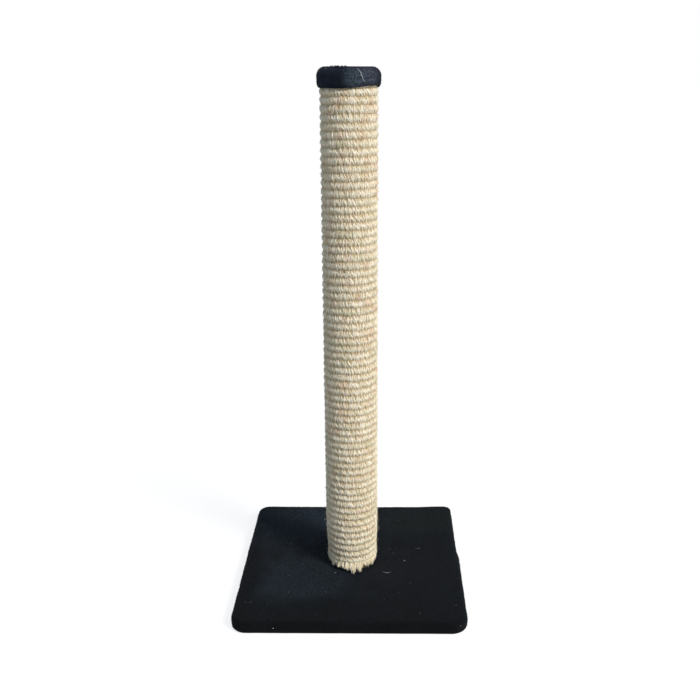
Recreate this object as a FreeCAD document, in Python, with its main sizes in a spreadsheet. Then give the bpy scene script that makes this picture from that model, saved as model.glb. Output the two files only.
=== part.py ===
import FreeCAD, Part

import math
import os
import re

import Sketcher
from FreeCAD import Placement, Rotation, Vector

# A tall cat scratching post on a square base.
#
# A fibreboard base is wrapped in short-pile plush, which is turned under and stapled.
# A cardboard tube stands on it. The tube has a wooden plug in each end, and one bolt
# from under the base pulls the bottom plug down by a tee nut. A ribbed sisal cloth is
# glued round the tube and stapled along its seam at the back, and a plush cap is
# pulled over the top and stapled through its hem.
#
# Millimetres. The origin is the centre of the base's underside, +Z is up, the front
# faces -Y and the cloth's seam is at the back, +Y.

SIZES = {
    # base board
    "board_width": 394,
    "board_depth": 394,
    "board_thickness": 18,
    "board_corner_radius": 24,
    "board_edge_radius": 4,
    # plush on the base
    "base_cloth": 2.7,
    "hem_width": 38,
    "mitre_gap": 0.8,
    # cloths lie this far off what they cover
    "cloth_gap": 0.3,
    # post
    "tube_diameter": 80,
    "tube_wall": 3.5,
    "tube_length": 880,
    "plug_gap": 0.1,
    "bottom_plug_height": 22,
    "top_plug_height": 18,
    # ribbed sisal cloth
    "glue_line": 0.3,
    "sisal_thickness": 7.1,
    "rib_pitch": 12.84,
    "rib_depth": 2.6,
    "rib_shoulder_share": 0.18,
    "rib_shoulder_rise": 0.72,
    "rib_growth": 0.029,
    "frayed_height": 19.5,
    "seam_gap": 0.8,
    # plush cap
    "cap_cloth": 4.5,
    "cap_height": 34,
    "cap_edge_radius": 8,
    "cap_hem_radius": 4,
    "cap_staple_height": 10,
    # bolt, washer and tee nut
    "bolt_diameter": 8,
    "bolt_length": 50,
    "bolt_head_width": 13,
    "bolt_head_height": 5.3,
    "bolt_head_sink": 0.5,
    "bolt_point": 1.2,
    "bolt_hole_gap": 0.3,
    "thread_gap": 0.05,
    "washer_diameter": 24,
    "washer_thickness": 2,
    "counterbore_gap": 0.5,
    "nut_flange_diameter": 22,
    "nut_flange_thickness": 1.6,
    "nut_barrel_diameter": 10.4,
    "nut_barrel_length": 9,
    "nut_prong_length": 7,
    "nut_prong_width": 3,
    "nut_prong_thickness": 1.2,
    "nut_prongs": 4,
    # nails through the tube into the plugs
    "nail_diameter": 1.8,
    "nail_length": 20,
    "nail_head_diameter": 4,
    "nail_head_thickness": 1,
    "nail_sink": 0.2,
    "nails_per_plug": 6,
    # staples
    "staple_crown": 11,
    "staple_wire": 1,
    "staple_sink": 0.6,
    "board_bite": 8,
    "tube_bite": 2.6,
    "pierce_gap": 0.1,
    "hem_staples_per_side": 6,
    "ribs_per_seam_staple": 6,
    "cap_staples": 4,
}

# Levels and radii that follow from the sizes, each written once.
FORMULAS = {
    "board_bottom": "base_cloth + cloth_gap",
    "board_top": "board_bottom + board_thickness",
    "base_top": "board_top + cloth_gap + base_cloth",
    "post_top": "base_top + tube_length",
    "wrap": "cloth_gap + base_cloth",
    "tube_radius": "tube_diameter / 2",
    "tube_bore": "tube_radius - tube_wall",
    "sleeve_bore": "tube_radius + glue_line",
    "crest_radius": "sleeve_bore + sisal_thickness",
    "groove_radius": "crest_radius - rib_depth",
    "cap_bore": "crest_radius + cloth_gap",
    "cap_radius": "cap_bore + cap_cloth",
    "cap_top": "post_top + cloth_gap + cap_cloth",
    "cap_bottom": "cap_top - cap_height",
    "counterbore": "washer_thickness + bolt_head_height + bolt_head_sink",
    "washer_seat": "board_bottom + counterbore",
    "bolt_seat": "washer_seat - washer_thickness",
    "bolt_hole": "bolt_diameter / 2 + bolt_hole_gap",
    "nut_seat": "base_top + bottom_plug_height",
}

NAME = re.compile(r"[a-z_]{3,}")

doc = FreeCAD.newDocument("scratching_post")
sheet = doc.addObject("Spreadsheet::Sheet", "Sizes")
for row, (name, number) in enumerate(SIZES.items(), start=1):
    sheet.set(f"A{row}", name)
    sheet.set(f"B{row}", str(number))
    sheet.setAlias(f"B{row}", name)
doc.recompute()


def cells(text):
    """A formula with each name as its cell in the sheet, or as that name's own formula."""

    def spelled(match):
        name = match.group(0)
        if name in FORMULAS:
            return f"({cells(FORMULAS[name])})"
        return f"Sizes.{name}" if name in SIZES else name

    return NAME.sub(spelled, text)


def size(text):
    """The number that a formula stands for now."""
    return float(sheet.evalExpression(cells(text)))


def bind(item, properties):
    """Ties properties of an object to formulas."""
    for place, text in properties.items():
        item.setExpression(place, cells(text))


def lift(item, level):
    bind(item, {"Placement.Base.z": level})
    return item


# ---- building blocks ----


def new_sketch(body, name):
    """A sketch on the body's own XY plane."""
    sketch = body.newObject("Sketcher::SketchObject", name)
    plane = next(f for f in body.Origin.OriginFeatures if f.Role == "XY_Plane")
    sketch.AttachmentSupport = [(plane, "")]
    sketch.MapMode = "FlatFace"
    return sketch


def draw_circle(sketch, label, radius):
    """A circle round the sketch's origin."""
    circle = Part.Circle(Vector(0, 0, 0), Vector(0, 0, 1), size(radius))
    curve = sketch.addGeometry(circle, False)
    sketch.addConstraint(Sketcher.Constraint("Coincident", curve, 3, -1, 1))
    rule = sketch.addConstraint(Sketcher.Constraint("Radius", curve, size(radius)))
    sketch.renameConstraint(rule, label)
    bind(sketch, {f"Constraints.{label}": radius})


def draw_rectangle(sketch, width, depth):
    """A rectangle centred on the sketch's origin."""
    right, back = size(width) / 2, size(depth) / 2
    corners = [
        Vector(-right, -back, 0),
        Vector(right, -back, 0),
        Vector(right, back, 0),
        Vector(-right, back, 0),
    ]
    for start, end in zip(corners, corners[1:] + corners[:1]):
        sketch.addGeometry(Part.LineSegment(start, end), False)
    for line in range(4):
        sketch.addConstraint(Sketcher.Constraint("Coincident", line, 2, (line + 1) % 4, 1))
        sketch.addConstraint(Sketcher.Constraint(("Horizontal", "Vertical")[line % 2], line))
    sketch.addConstraint(Sketcher.Constraint("Symmetric", 0, 1, 2, 1, -1, 1))
    across = sketch.addConstraint(Sketcher.Constraint("DistanceX", 0, 1, 0, 2, size(width)))
    along = sketch.addConstraint(Sketcher.Constraint("DistanceY", 1, 1, 1, 2, size(depth)))
    sketch.renameConstraint(across, "width")
    sketch.renameConstraint(along, "depth")
    bind(sketch, {"Constraints.width": width, "Constraints.depth": depth})


def new_pad(body, sketch, name, length):
    pad = body.newObject("PartDesign::Pad", name)
    pad.Profile = sketch
    bind(pad, {"Length": length})
    sketch.Visibility = False
    doc.recompute()
    return pad


def new_pocket(body, sketch, name, depth):
    """A pocket from the body's XY plane up into it."""
    before = body.Shape.Volume
    pocket = body.newObject("PartDesign::Pocket", name)
    pocket.Profile = sketch
    pocket.Reversed = True
    bind(pocket, {"Length": depth})
    doc.recompute()
    if not body.Shape.Volume < before:
        raise RuntimeError(f"{name} cuts nothing")
    return pocket


def round_off(body, name, base, chosen, radius):
    """Fillets the edges or faces of a feature that the function picks out."""
    kinds = (("Edge", base.Shape.Edges), ("Face", base.Shape.Faces))
    found = [f"{kind}{i}" for kind, items in kinds for i, x in enumerate(items, 1) if chosen(x)]
    fillet = body.newObject("PartDesign::Fillet", name)
    fillet.Base = (base, found)
    bind(fillet, {"Radius": radius})
    doc.recompute()
    return fillet


def is_upright_edge(item):
    return item.ShapeType == "Edge" and item.BoundBox.XLength + item.BoundBox.YLength < 0.001


def is_level_face(item):
    return item.ShapeType == "Face" and item.BoundBox.ZLength < 0.001


def slab(label, width, depth, thickness, corner_radius=None, edge_radius=None):
    """A flat body. Its corners, and its top and bottom edges, are rounded if asked."""
    body = doc.addObject("PartDesign::Body", label)
    outline = new_sketch(body, f"{label}_outline")
    draw_rectangle(outline, width, depth)
    flat = new_pad(body, outline, f"{label}_pad", thickness)
    if corner_radius:
        flat = round_off(body, f"{label}_corners", flat, is_upright_edge, corner_radius)
    if edge_radius:
        round_off(body, f"{label}_edges", flat, is_level_face, edge_radius)
    return body


def disc(label, radius, height, hole=None):
    """A round body on the post's axis, with a round hole through it if asked."""
    body = doc.addObject("PartDesign::Body", label)
    outline = new_sketch(body, f"{label}_outline")
    draw_circle(outline, "outside", radius)
    if hole:
        draw_circle(outline, "hole", hole)
    new_pad(body, outline, f"{label}_pad", height)
    return body


def cylinder(label, radius, height, level):
    item = doc.addObject("Part::Cylinder", label)
    bind(item, {"Radius": radius, "Height": height})
    return lift(item, level)


def fused(label, items):
    item = doc.addObject("Part::MultiFuse", label)
    item.Shapes = items
    doc.recompute()
    return item


def cut(label, base, tool):
    item = doc.addObject("Part::Cut", label)
    item.Base = base
    item.Tool = tool
    doc.recompute()
    return item


def group(label, solids):
    """Like pieces as one object, each a solid of its own."""
    item = doc.addObject("Part::Feature", label)
    item.Shape = Part.makeCompound(solids)
    return item


def centred_box(width, depth, height, level, x=0.0):
    corner = Vector(x - width / 2, -depth / 2, level)
    return Part.makeBox(width, depth, height, corner)


# ---- staples and nails: driven along +Z, with the outer face at Z = 0 ----


def staple(leg, ease=0.0, mouth=0.0):
    """A staple, or with ease and mouth the hole that it leaves in what it pierces."""
    wire = size("staple_wire")
    crown = size("staple_crown")
    thick = wire + 2 * ease
    shape = centred_box(crown + 2 * ease, thick, wire + ease + mouth, -mouth)
    for side in (-1, 1):
        at = side * (crown - wire) / 2
        shape = shape.fuse(centred_box(thick, thick, leg + ease, 0, at))
    return shape.removeSplitter()


def nail(ease=0.0, mouth=0.0):
    """A nail, or with ease and mouth its hole."""
    head = Part.makeCylinder(
        size("nail_head_diameter") / 2 + ease,
        size("nail_head_thickness") + ease + mouth,
        Vector(0, 0, -mouth),
    )
    shank = Part.makeCylinder(size("nail_diameter") / 2 + ease, size("nail_length") + ease)
    return head.fuse(shank).removeSplitter()


def inward(radius, angle, level):
    """The place of a staple or nail that is driven straight at the post's axis."""
    across, down, towards_axis = Vector(0, 1, 0), Vector(0, 0, -1), Vector(-1, 0, 0)
    driven = Placement(
        Vector(radius, 0, level), Rotation(across, down, towards_axis, "ZXY")
    )
    return Placement(Vector(0, 0, 0), Rotation(Vector(0, 0, 1), angle)) * driven


def at_each(shape, places):
    copies = []
    for place in places:
        copy = shape.copy()
        copy.Placement = place
        copies.append(copy)
    return copies


def fasteners(label, make, places, mouth):
    """The pieces as a group with this label, and the holes that they leave."""
    pieces = group(label, at_each(make(), places))
    holes = at_each(make(ease=size("pierce_gap"), mouth=mouth), places)
    return pieces, group(f"{label}_holes", holes)


BACK = 90  # the seam's angle from +X, in degrees
FIRST_STAPLE = 45  # the cap's staples stand clear of the nails and of the seam


def spread_round(count, first):
    return [first + 360 * i / count for i in range(count)]


def hem_places():
    """Staples along the middle of the hem, each crown along its own side."""
    per_side = round(size("hem_staples_per_side"))
    places = []
    for turn, span, reach in (
        (0, "board_width", "board_depth"),
        (90, "board_depth", "board_width"),
    ):
        run = size(f"{span} - 2 * hem_width")
        out = size(f"{reach} / 2 - hem_width / 2")
        for side in (-1, 1):
            for i in range(per_side):
                along = run * ((i + 0.5) / per_side - 0.5)
                spot = Placement(Vector(along, side * out, size("staple_sink")), Rotation())
                places.append(Placement(Vector(), Rotation(Vector(0, 0, 1), turn)) * spot)
    return places


def rib_count():
    return round(size("(tube_length - frayed_height) / rib_pitch"))


def groove_level(number):
    """The height of a groove above the base's plush; groove 0 is over the frayed end.

    The cloth is pulled tighter low on the post, so the ribs grow a little taller upwards.
    """
    ribbed = size("tube_length - frayed_height")
    share = number / rib_count()
    return size("frayed_height") + ribbed * share * (1 + size("rib_growth") * (share - 1))


def seam_places():
    step = round(size("ribs_per_seam_staple"))
    radius = size("groove_radius - staple_sink")
    return [
        inward(radius, BACK, size("base_top") + groove_level(number))
        for number in range(step // 2, rib_count(), step)
    ]


def cap_places():
    radius = size("cap_radius - staple_sink")
    level = size("cap_bottom + cap_staple_height")
    angles = spread_round(round(size("cap_staples")), FIRST_STAPLE)
    return [inward(radius, angle, level) for angle in angles]


def nail_places(level):
    radius = size("tube_radius - nail_sink")
    angles = spread_round(round(size("nails_per_plug")), 0)
    return [inward(radius, angle, size(level)) for angle in angles]


hem_staples, hem_holes = fasteners(
    "base_cover_staples",
    lambda **hole: staple(size("board_bottom - staple_sink + board_bite"), **hole),
    hem_places(),
    mouth=size("staple_sink + base_cloth"),
)
seam_staples, seam_holes = fasteners(
    "sleeve_seam_staples",
    lambda **hole: staple(size("groove_radius - staple_sink - tube_radius + tube_bite"), **hole),
    seam_places(),
    mouth=size("staple_sink + rib_depth + sisal_thickness"),
)
cap_staples, cap_holes = fasteners(
    "cap_cover_staples",
    lambda **hole: staple(size("cap_radius - staple_sink - tube_radius + tube_bite"), **hole),
    cap_places(),
    mouth=size("staple_sink + cap_cloth"),
)
bottom_nails, bottom_nail_holes = fasteners(
    "bottom_plug_nails", nail, nail_places("base_top + bottom_plug_height / 2"), size("tube_wall")
)
top_nails, top_nail_holes = fasteners(
    "top_plug_nails", nail, nail_places("post_top - top_plug_height / 2"), size("tube_wall")
)


# ---- base ----


def make_base_board():
    """Fibreboard with eased edges, and a counterbored hole up its middle for the bolt."""
    board = slab(
        "board_blank",
        "board_width",
        "board_depth",
        "board_thickness",
        "board_corner_radius",
        "board_edge_radius",
    )
    for name, radius, depth in (
        ("bolt_passage", "bolt_hole", "board_thickness"),
        ("washer_recess", "washer_diameter / 2 + counterbore_gap", "counterbore"),
    ):
        sketch = new_sketch(board, f"{name}_outline")
        draw_circle(sketch, "radius", radius)
        new_pocket(board, sketch, name, depth)
    lift(board, "board_bottom")
    doc.recompute()
    return cut("base_board", board, hem_holes)


def mitre_slits():
    """The four slits where the turned-under flaps of plush meet at the corners."""
    slits = []
    gap = size("mitre_gap")
    inner = Vector(size("board_width / 2 - hem_width"), size("board_depth / 2 - hem_width"), 0)
    curve = size("board_corner_radius")
    middle = Vector(size("board_width / 2") - curve, size("board_depth / 2") - curve, 0)
    outer = middle + Vector(1, 1, 0).normalize() * (curve - size("board_edge_radius"))
    reach = outer - inner
    for mirror_x, mirror_y in ((1, 1), (-1, 1), (-1, -1), (1, -1)):
        slit = Part.makeBox(reach.Length + gap, gap, size("board_bottom"), Vector(-gap, -gap / 2, 0))
        turn = math.degrees(math.atan2(reach.y * mirror_y, reach.x * mirror_x))
        start = Vector(inner.x * mirror_x, inner.y * mirror_y, 0)
        slit.Placement = Placement(start, Rotation(Vector(0, 0, 1), turn))
        slits.append(slit)
    return group("mitre_slits", slits)


def make_base_cover():
    """Plush over the board's top and sides, with a hem turned under all round."""
    outside = slab(
        "cover_outside",
        "board_width + 2 * wrap",
        "board_depth + 2 * wrap",
        "base_top",
        "board_corner_radius + wrap",
        "board_edge_radius + wrap",
    )
    hollow = slab(
        "cover_hollow",
        "board_width + 2 * cloth_gap",
        "board_depth + 2 * cloth_gap",
        "board_thickness + 2 * cloth_gap",
        "board_corner_radius + cloth_gap",
        "board_edge_radius + cloth_gap",
    )
    lift(hollow, "base_cloth")
    opening = slab(
        "hem_opening",
        "board_width - 2 * hem_width",
        "board_depth - 2 * hem_width",
        "board_bottom",
    )
    passage = cylinder("cloth_passage", "bolt_hole", "base_top", "0")
    doc.recompute()
    tools = fused("cover_tools", [hollow, opening, passage, mitre_slits(), hem_holes])
    return cut("base_cover", outside, tools)


# ---- bolt, washer and tee nut, on the post's axis ----


def make_post_bolt():
    """A hexagon bolt, head down in the board's recess."""
    head = doc.addObject("Part::Prism", "bolt_head")
    head.Polygon = 6
    bind(
        head,
        {"Circumradius": "bolt_head_width / 2 / cos(30)", "Height": "bolt_head_height"},
    )
    lift(head, "bolt_seat - bolt_head_height")
    shank = cylinder("bolt_shank", "bolt_diameter / 2", "bolt_length - bolt_point", "bolt_seat")
    point = doc.addObject("Part::Cone", "bolt_point_cone")
    bind(
        point,
        {
            "Radius1": "bolt_diameter / 2",
            "Radius2": "bolt_diameter / 2 - bolt_point",
            "Height": "bolt_point",
        },
    )
    lift(point, "bolt_seat + bolt_length - bolt_point")
    return fused("post_bolt", [head, shank, point])


def make_bolt_washer():
    washer = disc("bolt_washer", "washer_diameter / 2", "washer_thickness", "bolt_hole")
    return lift(washer, "bolt_seat")


def nut_prongs(ease=0.0):
    """The prongs that bite into the plug, bent down from the flange's rim."""
    thick = size("nut_prong_thickness") + 2 * ease
    width = size("nut_prong_width") + 2 * ease
    length = size("nut_prong_length") + ease
    out = size("nut_flange_diameter / 2 - nut_prong_thickness / 2")
    prong = centred_box(thick, width, length, size("nut_seat") - length)
    prong.translate(Vector(out - ease, 0, 0))
    turns = spread_round(round(size("nut_prongs")), 0)
    return at_each(prong, [Placement(Vector(), Rotation(Vector(0, 0, 1), a)) for a in turns])


def make_tee_nut():
    flange = cylinder("nut_flange", "nut_flange_diameter / 2", "nut_flange_thickness", "nut_seat")
    barrel = cylinder(
        "nut_barrel",
        "nut_barrel_diameter / 2",
        "nut_barrel_length",
        "nut_seat - nut_barrel_length",
    )
    thread = cylinder(
        "nut_thread",
        "bolt_diameter / 2 + thread_gap",
        "nut_barrel_length + nut_flange_thickness",
        "nut_seat - nut_barrel_length",
    )
    prongs = group("nut_prong_group", nut_prongs())
    doc.recompute()
    return cut("tee_nut", fused("nut_blank", [flange, barrel, prongs]), thread)


# ---- post ----


def make_post_tube():
    tube = disc("tube_blank", "tube_radius", "tube_length", "tube_bore")
    lift(tube, "base_top")
    doc.recompute()
    holes = fused("tube_holes", [bottom_nail_holes, top_nail_holes, seam_holes, cap_holes])
    return cut("post_tube", tube, holes)


def make_bottom_plug():
    plug = disc(
        "bottom_plug_blank",
        "tube_bore - plug_gap",
        "bottom_plug_height",
        "nut_barrel_diameter / 2 + pierce_gap",
    )
    lift(plug, "base_top")
    prong_slots = group("prong_slots", nut_prongs(ease=size("pierce_gap")))
    doc.recompute()
    return cut("bottom_plug", plug, fused("bottom_plug_holes", [bottom_nail_holes, prong_slots]))


def make_top_plug():
    plug = disc("top_plug_blank", "tube_bore - plug_gap", "top_plug_height")
    lift(plug, "post_top - top_plug_height")
    doc.recompute()
    return cut("top_plug", plug, top_nail_holes)


# ---- ribbed sisal cloth ----


def rib_circles(level, height):
    """The four circles of one rib: its lower groove, its shoulder, its crest and shoulder."""
    groove = size("groove_radius")
    crest = size("crest_radius")
    shoulder = groove + size("rib_shoulder_rise") * (crest - groove)
    share = size("rib_shoulder_share")
    shares = ((0, groove), (share, shoulder), (0.5, crest), (1 - share, shoulder))
    return [(level + height * part, radius) for part, radius in shares]


def make_sisal_sleeve():
    """The cloth round the tube: level ribs over a taller frayed end, with its bore and seam."""
    rings = rib_circles(0, size("frayed_height"))
    for number in range(rib_count()):
        low = groove_level(number)
        rings += rib_circles(low, groove_level(number + 1) - low)
    rings.append((size("tube_length"), size("groove_radius")))
    circles = []
    for level, radius in rings:
        circle = Part.Circle(Vector(0, 0, level), Vector(0, 0, 1), radius)
        circles.append(Part.Wire([circle.toShape()]))
    ribs = doc.addObject("Part::Feature", "sleeve_ribs")
    ribs.Shape = Part.makeLoft(circles, True, True)
    ribs.Placement = Placement(Vector(0, 0, size("base_top")), Rotation())
    bore = cylinder("sleeve_bore_tool", "sleeve_bore", "tube_length", "base_top")
    seam = doc.addObject("Part::Box", "sleeve_seam")
    bind(
        seam,
        {
            "Length": "seam_gap",
            "Width": "crest_radius",
            "Height": "tube_length",
            "Placement.Base.x": "-seam_gap / 2",
            "Placement.Base.z": "base_top",
        },
    )
    doc.recompute()
    tools = fused("sleeve_tools", [bore, seam, seam_holes, cap_holes])
    return cut("sisal_sleeve", ribs, tools)


# ---- plush cap ----


def make_cap_cover():
    """A plush cup over the post's top: a soft upper edge, and a hem tucked in below."""
    body = doc.addObject("PartDesign::Body", "cap_blank")
    outline = new_sketch(body, "cap_outline")
    draw_circle(outline, "outside", "cap_radius")
    pad = new_pad(body, outline, "cap_pad", "cap_height")

    def top_edge(item):
        return item.ShapeType == "Edge" and item.BoundBox.ZMin > size("cap_height") - 0.001

    def bottom_edge(item):
        return item.ShapeType == "Edge" and item.BoundBox.ZMax < 0.001

    top = round_off(body, "cap_edge", pad, top_edge, "cap_edge_radius")
    round_off(body, "cap_hem", top, bottom_edge, "min(cap_hem_radius; cap_cloth - cloth_gap)")
    mouth = new_sketch(body, "cap_mouth_outline")
    draw_circle(mouth, "bore", "cap_bore")
    new_pocket(body, mouth, "cap_mouth", "cap_height - cap_cloth")
    lift(body, "cap_bottom")
    doc.recompute()
    return cut("cap_cover", body, cap_holes)


parts = [
    make_base_board(),
    make_base_cover(),
    hem_staples,
    make_post_bolt(),
    make_bolt_washer(),
    make_tee_nut(),
    make_post_tube(),
    make_bottom_plug(),
    bottom_nails,
    make_top_plug(),
    top_nails,
    make_sisal_sleeve(),
    seam_staples,
    make_cap_cover(),
    cap_staples,
]
doc.recompute()

for item in doc.Objects:
    if "Invalid" in item.State or "Error" in item.State:
        raise RuntimeError(f"{item.Label} failed: {item.State}")
for part in parts:
    if part.Shape.isNull() or not part.Shape.isValid():
        raise RuntimeError(f"{part.Label} has no valid shape")

os.makedirs("parts", exist_ok=True)
for part in parts:
    part.Shape.exportStep(f"parts/{part.Label}.step")
    box = part.Shape.BoundBox
    print(
        f"{part.Label}: {len(part.Shape.Solids)} solids, {part.Shape.Volume:.0f} mm3,"
        f" z {box.ZMin:.2f} to {box.ZMax:.2f}"
    )
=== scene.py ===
import math
import random

import bpy
from mathutils import Matrix, Vector, noise


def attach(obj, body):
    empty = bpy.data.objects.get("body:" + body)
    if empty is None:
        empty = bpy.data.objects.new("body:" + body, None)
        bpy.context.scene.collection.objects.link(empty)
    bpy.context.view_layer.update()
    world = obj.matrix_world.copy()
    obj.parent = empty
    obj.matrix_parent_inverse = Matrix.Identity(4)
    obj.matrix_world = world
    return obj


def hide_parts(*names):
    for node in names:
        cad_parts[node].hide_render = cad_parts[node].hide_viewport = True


# The looks of a tall cat scratching post: a round post in ribbed woven sisal with a frayed
# foot, a black plush cap and a square base wrapped in black short-pile plush.
# Metres. The base stands on z = 0, its front faces -Y and the sisal's seam is at +Y.

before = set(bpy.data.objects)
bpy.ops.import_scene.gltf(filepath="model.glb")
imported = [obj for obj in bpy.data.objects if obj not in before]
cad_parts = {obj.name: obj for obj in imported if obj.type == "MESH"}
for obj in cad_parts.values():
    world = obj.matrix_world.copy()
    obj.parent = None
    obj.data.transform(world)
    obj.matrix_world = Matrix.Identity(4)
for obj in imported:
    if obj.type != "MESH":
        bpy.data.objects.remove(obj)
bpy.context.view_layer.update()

MM = 0.001
TURN = 2 * math.pi
BACK = math.pi / 2
FRONT = -math.pi / 2

# Sizes that the CAD part has too.
BASE_HALF = 200 * MM
BASE_CORNER = 27 * MM
BASE_EDGE = 7 * MM
BASE_TOP = 24 * MM
BASE_CLOTH = 2.7 * MM
BOARD_HALF = 197 * MM
HEM_WIDTH = 38 * MM
BOLT_HOLE = 4.3 * MM
POST_TOP = 904 * MM
SLEEVE_BORE = 40.3 * MM
GROOVE_RADIUS = 44.8 * MM
FRAYED_TOP = 43.5 * MM
RIB_COUNT = 67
RIB_GROWTH = 0.029
SEAM_GAP = 0.8 * MM
CAP_BORE = 47.7 * MM
CAP_TOP = 908.8 * MM
CAP_BOTTOM = 874.8 * MM

# How the sisal's yarn lies.
RIB_PITCH = (POST_TOP - FRAYED_TOP) / RIB_COUNT
LOOP_SPACING = 2.3 * MM
LOOP_PATH_RADIUS = 44.2 * MM
CORE_CREST = 45.6 * MM
CORE_GROOVE = 44.1 * MM
ROUND_COLUMNS = 96
LOOSE = 0.4 * MM
LOOSE_UP = 1.4 * LOOSE
CLOTH_FOOT = 24.2 * MM
PULLED_FROM = 45 * MM
PULLED_UP_TO = 105 * MM


# ---- small helpers ----


def linear(hex_colour):
    """An sRGB hex colour as the linear values that a shader takes."""
    values = []
    for start in (1, 3, 5):
        value = int(hex_colour[start:start + 2], 16) / 255
        if value <= 0.04045:
            values.append(value / 12.92)
        else:
            values.append(((value + 0.055) / 1.055) ** 2.4)
    return (*values, 1.0)


def per(millimetres):
    """The scale that gives a pattern features of this size on coordinates in metres."""
    return 1 / (millimetres * MM)


def add(tree, kind, settings=None, links=None, stops=None):
    """Adds a node. Settings go to its own properties or its inputs, links join its inputs."""
    node = tree.nodes.new(kind)
    for name, value in (settings or {}).items():
        if isinstance(name, str) and name in node.bl_rna.properties:
            setattr(node, name, value)
        else:
            node.inputs[name].default_value = value
    for name, source in (links or {}).items():
        tree.links.new(source, node.inputs[name])
    if stops:
        ramp = node.color_ramp
        while len(ramp.elements) < len(stops):
            ramp.elements.new(0.5)
        for element, (position, colour) in zip(ramp.elements, stops):
            element.position = position
            element.color = linear(colour)
    return node


def number(tree, operation, first, second):
    """What a math node makes of two values; each one is a number or another node's output."""
    settings = {"operation": operation}
    links = {}
    for index, value in enumerate((first, second)):
        if isinstance(value, (int, float)):
            settings[index] = value
        else:
            links[index] = value
    return add(tree, "ShaderNodeMath", settings, links).outputs[0]


def split(tree, place):
    """A place's three coordinates, as outputs."""
    return add(tree, "ShaderNodeSeparateXYZ", None, {0: place}).outputs


def joined(tree, **parts):
    """One vector made of the outputs given for X, Y and Z."""
    return add(tree, "ShaderNodeCombineXYZ", None, parts).outputs[0]


def length(tree, vector):
    return add(tree, "ShaderNodeVectorMath", {"operation": "LENGTH"}, {0: vector}).outputs["Value"]


def ramp(tree, factor, stops):
    """A colour read from a ramp of stops."""
    return add(tree, "ShaderNodeValToRGB", None, {0: factor}, stops).outputs[0]


def new_material(name):
    material = bpy.data.materials.new(name)
    material.use_nodes = True
    material.node_tree.nodes.clear()
    return material, material.node_tree


def wave(x, y, z=0.0):
    """Smooth noise from about -1 to 1, the same on every run."""
    return noise.noise(Vector((x, y, z)))


def eased(value, low, high):
    """0 below low, 1 above high and a smooth step between."""
    share = max(0.0, min(1.0, (value - low) / (high - low)))
    return share * share * (3 - 2 * share)


def from_table(table, share):
    """A value read from a table of falling shares and values, in a straight line between two."""
    for (high, first), (low, second) in zip(table, table[1:]):
        if share >= low:
            return second + (first - second) * (share - low) / (high - low)
    return table[-1][1]


def in_scene(name, data):
    made = bpy.data.objects.new(name, data)
    bpy.context.scene.collection.objects.link(made)
    return made


def mesh_object(name, points, faces, material=None):
    """A smooth-shaded mesh in the scene."""
    mesh = bpy.data.meshes.new(name)
    mesh.from_pydata(points, [], faces)
    mesh.validate()
    mesh.update()
    mesh.polygons.foreach_set("use_smooth", [True] * len(mesh.polygons))
    if material:
        mesh.materials.append(material)
    return in_scene(name, mesh)


def store(made, name, values):
    """Keeps one number for each of a mesh's points."""
    attribute = made.data.attributes.new(name, "FLOAT", "POINT")
    attribute.data.foreach_set("value", values)


def at(radius, angle, height):
    """A point on the post, by its distance from the axis, its angle and its height."""
    return (radius * math.cos(angle), radius * math.sin(angle), height)


def ring_faces(rows, columns, closed=False, flip=False):
    """Quads over a grid of points that are numbered row by row."""
    faces = []
    last = columns if closed else columns - 1
    for row in range(rows - 1):
        for column in range(last):
            right = (column + 1) % columns
            low = row * columns
            high = low + columns
            face = (low + column, low + right, high + right, high + column)
            faces.append(face[::-1] if flip else face)
    return faces


def tube_along(points, faces, line, radii, sides):
    """Adds a thin closed tube along a line of points, pointed where its radius is small."""
    start = len(points)
    count = len(line)
    for index, (spot, radius) in enumerate(zip(line, radii)):
        ahead = line[min(index + 1, count - 1)] - line[max(index - 1, 0)]
        facing = ahead.to_track_quat("Z", "Y")
        for side in range(sides):
            turn = TURN * side / sides
            around = Vector((radius * math.cos(turn), radius * math.sin(turn), 0))
            points.append(tuple(spot + facing @ around))
    for row in range(count - 1):
        for side in range(sides):
            right = (side + 1) % sides
            low = start + row * sides
            faces.append((low + side, low + right, low + sides + right, low + sides + side))
    faces.append(tuple(start + side for side in reversed(range(sides))))
    faces.append(tuple(start + (count - 1) * sides + side for side in range(sides)))


# ---- Geometry Nodes ----


def new_tree(name, inputs):
    """A tree with a geometry input, named inputs and a geometry output."""
    tree = bpy.data.node_groups.new(name, "GeometryNodeTree")
    face = tree.interface
    face.new_socket("Geometry", in_out="INPUT", socket_type="NodeSocketGeometry")
    for label, kind in inputs.items():
        face.new_socket(label, in_out="INPUT", socket_type=f"NodeSocket{kind}")
    face.new_socket("Geometry", in_out="OUTPUT", socket_type="NodeSocketGeometry")
    return tree, add(tree, "NodeGroupInput").outputs


def grow(name, carrier, tree, values):
    """Runs a tree on a carrier and keeps what it makes as a plain mesh; the carrier goes."""
    modifier = carrier.modifiers.new("grow", "NODES")
    modifier.node_group = tree
    for item in tree.interface.items_tree:
        if item.item_type == "SOCKET" and item.in_out == "INPUT" and item.name in values:
            modifier[item.identifier] = values[item.name]
    depsgraph = bpy.context.evaluated_depsgraph_get()
    mesh = bpy.data.meshes.new_from_object(
        carrier.evaluated_get(depsgraph), preserve_all_data_layers=True, depsgraph=depsgraph
    )
    mesh.name = name
    made = in_scene(name, mesh)
    bpy.data.objects.remove(carrier)
    return made


def random_value(tree, low, high, seed, plus):
    """A random number for each instance; plus keeps one draw apart from the next."""
    settings = {"data_type": "FLOAT", 2: low, 3: high}
    seeds = number(tree, "ADD", seed, plus)
    return add(tree, "FunctionNodeRandomValue", settings, {8: seeds}).outputs[1]


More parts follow.
